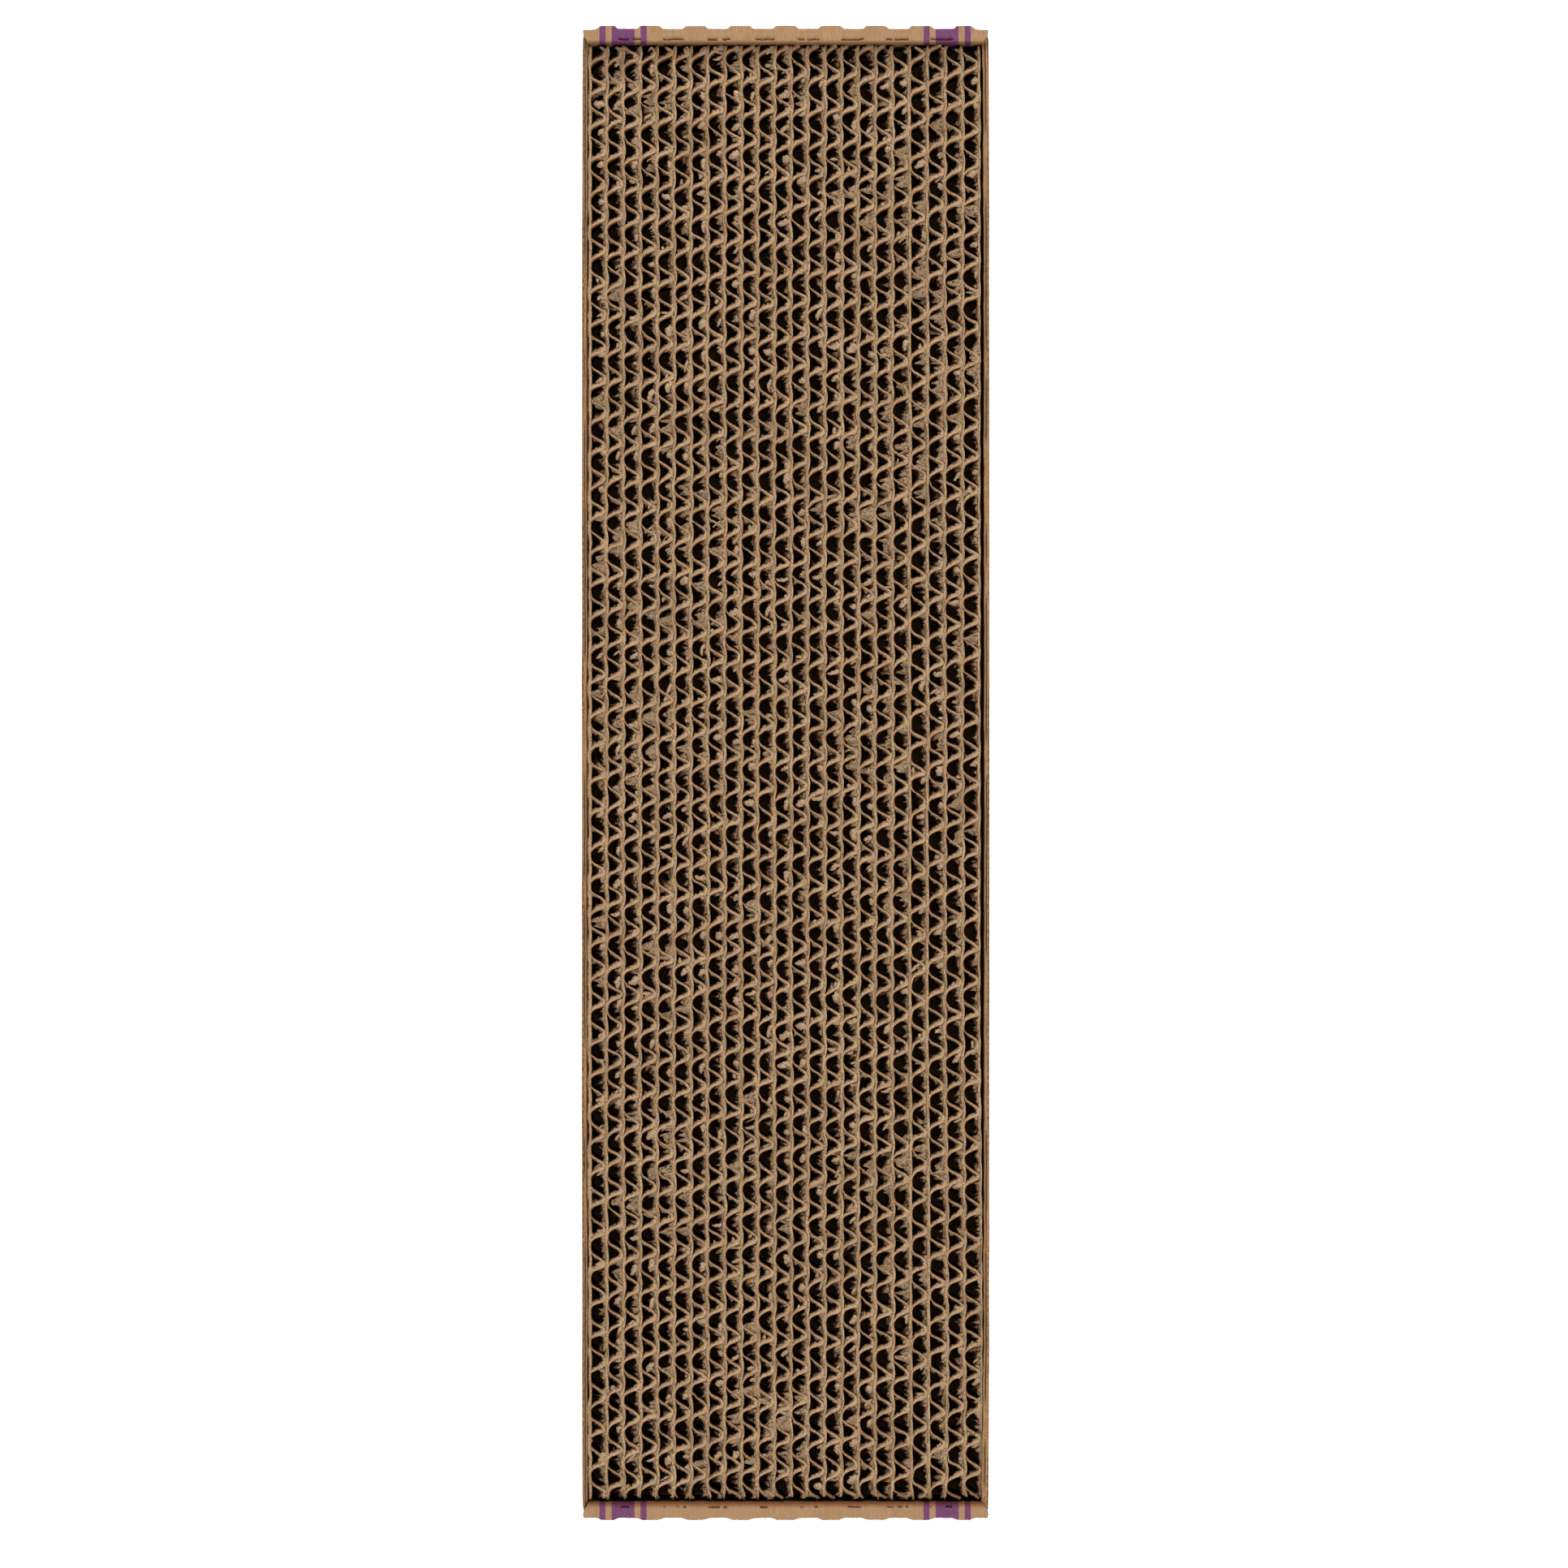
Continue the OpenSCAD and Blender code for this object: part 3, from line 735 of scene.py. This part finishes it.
def side_wall(hand):
    """A side wall of the tray, hand 1 on the right and -1 on the left. Its section goes from the
    fold at the foot up the outer face, over the raw edge and down the inner face, and is carried
    along the wall. From corners set in by CORNER_INSET the wall bulges outwards with the fourth
    root of the cosine of its place, and at both ends its top dives under the ledges. On the raw
    edge the crushed flute shows as slanting dark dashes between the outer liner and the paper
    beside it, one for each half flute, where the crushing left them open. Past its first 0.5 mm the
    edge is widened to the rim's own width."""
    rng = np.random.default_rng(WALL_SEED + hand)
    rim_middle, rim_more = (1.5, 0.75) if hand > 0 else (1.3, 0.3)
    y = np.arange(WALL_LOW[1], WALL_HIGH[1] + 0.01, 0.45)
    top = WALL_HIGH[2]
    mitre = LEDGE_LOW[1]
    dive = step_up(np.abs(y), mitre - 1.5, mitre + 0.6) * (top - LEDGE_LOW[2] + 0.3)
    middle = np.maximum(np.cos(math.pi / 2 * y / WALL_HIGH[1]), 0) ** 0.25
    outer = OUTER_X - CORNER_INSET * (1 - middle) - np.abs(wander(y, 33, 0.12, rng))
    rim = rim_middle + rim_more * (1 - middle) + wander(y, 26, 0.14, rng) + wander(y, 4, 0.12, rng)
    lip = wander(y, 5, 0.1, rng)
    turn = y / DASH_PITCH + wander(y, 17, 0.5, rng)
    open_flute = step_up(wander(y, 28, 1.0, rng), -0.5, 0.0)
    dash = step_up(np.sin(2 * math.pi * turn), -0.3, 0.3) * open_flute
    slant = 0.14 * ((turn % 1) - 0.25)
    groove = step_up(wander(y, 13, 1.0, rng), -0.4, 0.2)
    rows = [(outer - BOARD_T * away, BOARD_T * z)
            for away, z in ((1, 0), (0.5, 0.13), (0.13, 0.5), (0, 1))]
    rows += [(outer, z) for z in (8, 16, 24, 32, 40, 46)]
    for away, height, in_dash, in_groove in RAW_EDGE:
        rough = rng.normal(0, 0.03, len(y)) * (away > 0.1)
        widened = away * (rim / RAW_EDGE[-1][0] if away > 0.5 else 1)
        x = outer - (widened + slant * (0.3 < away < 0.7) * open_flute) + rough
        z = top + height - in_dash * dash - in_groove * groove + lip - 0.1 + np.minimum(rough, 0)
        rows.append((x, z))
    rows += [(outer - np.maximum(rim, thickness), z) for thickness, z in ((1.5, 46), (1.7, 40))]
    rows += [(outer - BOARD_T, z) for z in (24, 8, BOARD_T)]
    ring = []
    for x, z in rows:
        z = np.where(z > 40, z - dive * step_up(z, 40, 47), z)
        ring.append(row_of(hand * x, y, np.minimum(z, top)))
    points, faces = loft(np.stack(ring, 1))
    plain = points[faces, 2].mean(1) < top - 2.5
    make_piece(f"{SIDES[hand]}_wall", [((points, faces[plain]), 0), ((points, faces[~plain]), 1)],
               [liner_along, raw_edge], "tray", "tray_board", f"tray_{SIDES[hand]}_wall")


def end_ledge(end):
    """The ledge of an end wall, end 1 at the rear and -1 at the front. Its section runs from the
    outer crease over the flat top, across the inner crease and down the rounded inner fold, each
    point given by how far inwards and how high it lies, and is carried across the tray between
    mitred ends. Uncut stretches of the outer crease are drawn back and rounded; between the bumps
    that this leaves, the inner crease gapes as a slit. The rear ledge's bumps are the crisper, its
    corners are drawn back further, and more of its slits are open."""
    rng = np.random.default_rng(LEDGE_SEED + end)
    corner, setback, rough = (1.4, 0.85, 0.05) if end > 0 else (2.2, 0.6, 0.1)
    corner_back, shut, end_ragged = (0.6, -0.7, 0.1) if end > 0 else (0.0, -0.1, 0.35)
    u = np.linspace(-1, 1, 600)
    x = u * (OUTER_X - CORNER_INSET)
    to_bump = np.abs((x / CUT_PITCH + 0.5) % 1 - 0.5) * CUT_PITCH
    bump = step_up(to_bump, CUT_LEN / 2 + corner / 2, CUT_LEN / 2 - corner / 2)
    bump *= step_up(np.abs(x), INNER_X - 2, INNER_X - 4)
    slit = step_up(CUT_PITCH / 2 - to_bump, CUT_LEN / 2 + 0.2, CUT_LEN / 2 - 0.2)
    slit *= step_up(np.abs(x), INNER_X - 4, INNER_X - 5)
    drawn = setback * (1 - bump) + np.abs(wander(x, 5, 0.08, rng)) + np.abs(wander(x, 0.7, rough, rng))
    drawn += corner_back * step_up(np.abs(x), INNER_X - 4, INNER_X + 1.5)
    round_off = 0.7 - 0.3 * bump
    open_slit = slit * step_up(wander(x, 1.1, 1.0, rng), shut, shut + 0.4)
    depth = open_slit * rng.uniform(1.1, 1.7, len(x))
    gape = 0.08 + 0.12 * slit + 0.08 * rng.random(len(x))
    shift = wander(x, 1.3, 0.14, rng)
    dip = 0.10 * (1 - bump) + np.abs(wander(x, 7, 0.06, rng))
    fold_high, fold_wide = 1.6, 1.2
    crease = FOLD_EDGE - fold_wide - 0.1
    rows = [(drawn + 0.5, -1.75), (drawn + 0.12, -1.5), (drawn, -1.1),
            (drawn + 0.05 * round_off, -0.75 * round_off), (drawn + 0.3 * round_off, -0.3 * round_off),
            (drawn + 0.62 * round_off, -0.08 * round_off - 0.02), (drawn + round_off, -dip - 0.02),
            (np.maximum(2.5, drawn + round_off + 0.15), -dip),
            (crease - 0.95 + shift, -0.4 * dip - 0.03),
            (crease - gape - 0.14 + shift, -0.03 - 0.1 * slit),
            (crease - gape + shift, -0.06 - 0.1 * slit - depth),
            (crease + gape + shift, -0.08 - 0.12 * slit - depth),
            (crease + gape + 0.12 + shift, -0.06 - 0.12 * slit)]
    for angle in (24, 38, 52, 66, 80, 90):
        a = math.radians(angle)
        rows.append((crease + 0.1 + fold_wide * math.sin(a), -fold_high + fold_high * math.cos(a)))
    rows += [(FOLD_EDGE, -BOARD_T), (2.6, -BOARD_T)]
    ring = []
    for inwards, z in rows:
        reach = INNER_X + np.clip((FOLD_EDGE - inwards) / 2, 0, OUTER_X - CORNER_INSET - INNER_X)
        reach = reach - rng.uniform(0, end_ragged)
        z = np.clip(LEDGE_HIGH[2] + z, LEDGE_LOW[2], LEDGE_HIGH[2])
        ring.append(row_of(u * reach, end * (OUTER_Y - inwards), z))
    make_piece(f"{ENDS[end]}_rolled_ledge", [(loft(np.stack(ring, 1)), 0)], [printed], "tray",
               "tray_board", f"{ENDS[end]}_ledge")


def end_panel(end):
    """The outer panel of an end wall: a standing sheet with the fold at its foot, set back under
    the ledge's outer crease so that the crease's bumps stand proud. Its outer face swells from foot
    to top with half a sine."""
    swell = 0.2
    x = np.linspace(-1, 1, 60) * (OUTER_X - CORNER_INSET)
    back, top = OUTER_Y - PANEL_SETBACK, LEDGE_LOW[2]
    outer_face = [(1.2, 0.0), (0.45, 0.35), (0.1, 1.2), (0, 4), (0, 14), (0, 26), (0, 38), (0.02, 46),
                  (0.1, top)]
    rows = [(back - inwards + swell * math.sin(math.pi * z / top) - swell, z)
            for inwards, z in outer_face]
    rows += [(back - PANEL_SETBACK, top), (back - PANEL_SETBACK, 0.0)]
    ring = [row_of(x, end * y, z) for y, z in rows]
    make_piece(f"{ENDS[end]}_end_panel", [(loft(np.stack(ring, 1)), 0)], [printed], "tray",
               "tray_board", f"{ENDS[end]}_outer_panel")


def inner_panel(end):
    """The inner panel of an end wall: a standing sheet that the ledge's inner fold runs down into,
    bowed a little away from the pad, with its foot tucked into the tray's floor."""
    low, high = box_mm(f"{ENDS[end]}_inner_panel")
    inner_y, outer_y = sorted((abs(low[1]), abs(high[1])))
    x = np.linspace(low[0], high[0], 60)
    face = OUTER_Y - FOLD_EDGE
    rows = [(inner_y, low[2]), (inner_y, 12), (inner_y, 24), ((inner_y + face) / 2, 36), (face, 44),
            (face, high[2]), (outer_y, high[2]), (outer_y, low[2])]
    ring = [row_of(x, end * y, z) for y, z in rows]
    make_piece(f"{ENDS[end]}_tucked_panel", [(loft(np.stack(ring, 1)), 0)], [printed], "tray",
               "tray_board", f"{ENDS[end]}_inner_panel")


def corner_flap(hand, end):
    """A corner flap: a standing sheet behind the end panel, whose plan turns the tray's corner with
    a quarter circle one board in radius."""
    node = f"{ENDS[end]}_{SIDES[hand]}_flap"
    low, high = box_mm(node)
    inner_y, outer_y = sorted((abs(low[1]), abs(high[1])))
    free_x = min(abs(low[0]), abs(high[0]))
    bend = OUTER_X - CORNER_INSET - BOARD_T
    plan = [(free_x, inner_y), (free_x, outer_y)]
    for angle in range(90, -1, -15):
        a = math.radians(angle)
        plan.append((bend + BOARD_T * math.cos(a), inner_y + BOARD_T * math.sin(a)))
    plan.append((bend, inner_y))
    x, y = np.array(plan).T
    ring = [row_of(hand * x, end * y, z) for z in (low[2], (low[2] + high[2]) / 2, high[2])]
    make_piece(node.replace("flap", "tucked_flap"), [(loft(np.stack(ring)), 0)], [liner_upright],
               "tray", "flap_board", node)


for hand in (-1, 1):
    side_wall(hand)
for end in (-1, 1):
    end_ledge(end)
    end_panel(end)
    inner_panel(end)
    for hand in (-1, 1):
        corner_flap(hand, end)

# What nothing replaces, which is the tray's floor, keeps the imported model's own shape
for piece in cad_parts.values():
    if not piece.hide_render:
        piece.data.materials.clear()
        piece.data.materials.append(liner_along)


# The studio

def studio_floor():
    """A pale floor just below the tray. It also glows by itself outside the tray's plan, so that it
    shows white there, and the glow fades out over 4 mm under the tray."""
    half, below, glow_fade = 10000 * MM, 0.2 * MM, 4 * MM
    mesh = bpy.data.meshes.new("studio_floor")
    mesh.from_pydata([(-half, -half, 0), (half, -half, 0), (half, half, 0), (-half, half, 0)], [],
                     [(0, 1, 2, 3)])
    floor = bpy.data.objects.new("studio_floor", mesh)
    floor.location.z = -below
    bpy.context.scene.collection.objects.link(floor)
    material, tree, output, place = new_material("Pale floor")
    past = add(tree, "VectorMath", {0: place}, operation="ABSOLUTE").outputs[0]
    past = add(tree, "VectorMath", {0: past, 1: (OUTER_X * MM, OUTER_Y * MM, 0)},
               operation="SUBTRACT").outputs[0]
    past = add(tree, "SeparateXYZ", {"Vector": past}).outputs
    outside = add(tree, "Math", {0: past["X"], 1: past["Y"]}, operation="MAXIMUM").outputs[0]
    glow = add(tree, "MapRange", {"Value": outside, "From Min": -glow_fade, "From Max": 0.0,
                                  "To Max": 0.6}).outputs[0]
    shader = add(tree, "BsdfPrincipled", {"Base Color": linear("#f4f3f1"), "Roughness": 0.9,
                                          "Emission Color": linear("#ffffff"),
                                          "Emission Strength": glow})
    tree.links.new(shader.outputs[0], output.inputs[0])
    mesh.materials.append(material)


def top_camera():
    """The camera looks straight down from high above the ledges, and its picture is as many
    millimetres wide as the photograph's pixels cover."""
    picture_pixels, pixels_per_mm = 1932, 4.16
    centre_x, centre_y = -0.5, -3.25
    height, sensor = 5000, 36
    camera = bpy.data.cameras.new("camera")
    camera.sensor_width = sensor
    camera.lens = sensor * height / (picture_pixels / pixels_per_mm)
    camera.clip_end = 10
    shot = bpy.data.objects.new("camera", camera)
    shot.location = (centre_x * MM, centre_y * MM, (LEDGE_HIGH[2] + height) * MM)
    bpy.context.scene.collection.objects.link(shot)
    bpy.context.scene.camera = shot


def soft_light(name, place, size, power):
    """A round lamp that faces the tray's middle, with its place and size in metres and its power in
    watts."""
    light = bpy.data.lights.new(name, "AREA")
    light.shape = "DISK"
    light.size = size
    light.energy = power
    lamp = bpy.data.objects.new(name, light)
    lamp.location = place
    lamp.rotation_euler = (-Vector(place)).to_track_quat("-Z", "Y").to_euler()
    bpy.context.scene.collection.objects.link(lamp)


def studio():
    """The floor and the camera, a key light from high up at the front right, a low fill from the
    rear left, a small light from above, and an even white surround."""
    studio_floor()
    top_camera()
    soft_light("key", (0.8, -2.1, 6.2), 1.8, 314)
    soft_light("fill", (-0.4, 2.4, 1.4), 1.2, 40)
    soft_light("top", (0.1, 0.1, 5.0), 0.8, 11)
    world = bpy.data.worlds.new("studio")
    world.use_nodes = True
    world.node_tree.nodes["Background"].inputs[0].default_value = (1, 1, 1, 1)
    world.node_tree.nodes["Background"].inputs[1].default_value = 0.31
    bpy.context.scene.world = world
    bpy.context.scene.view_settings.view_transform = "Standard"


studio()
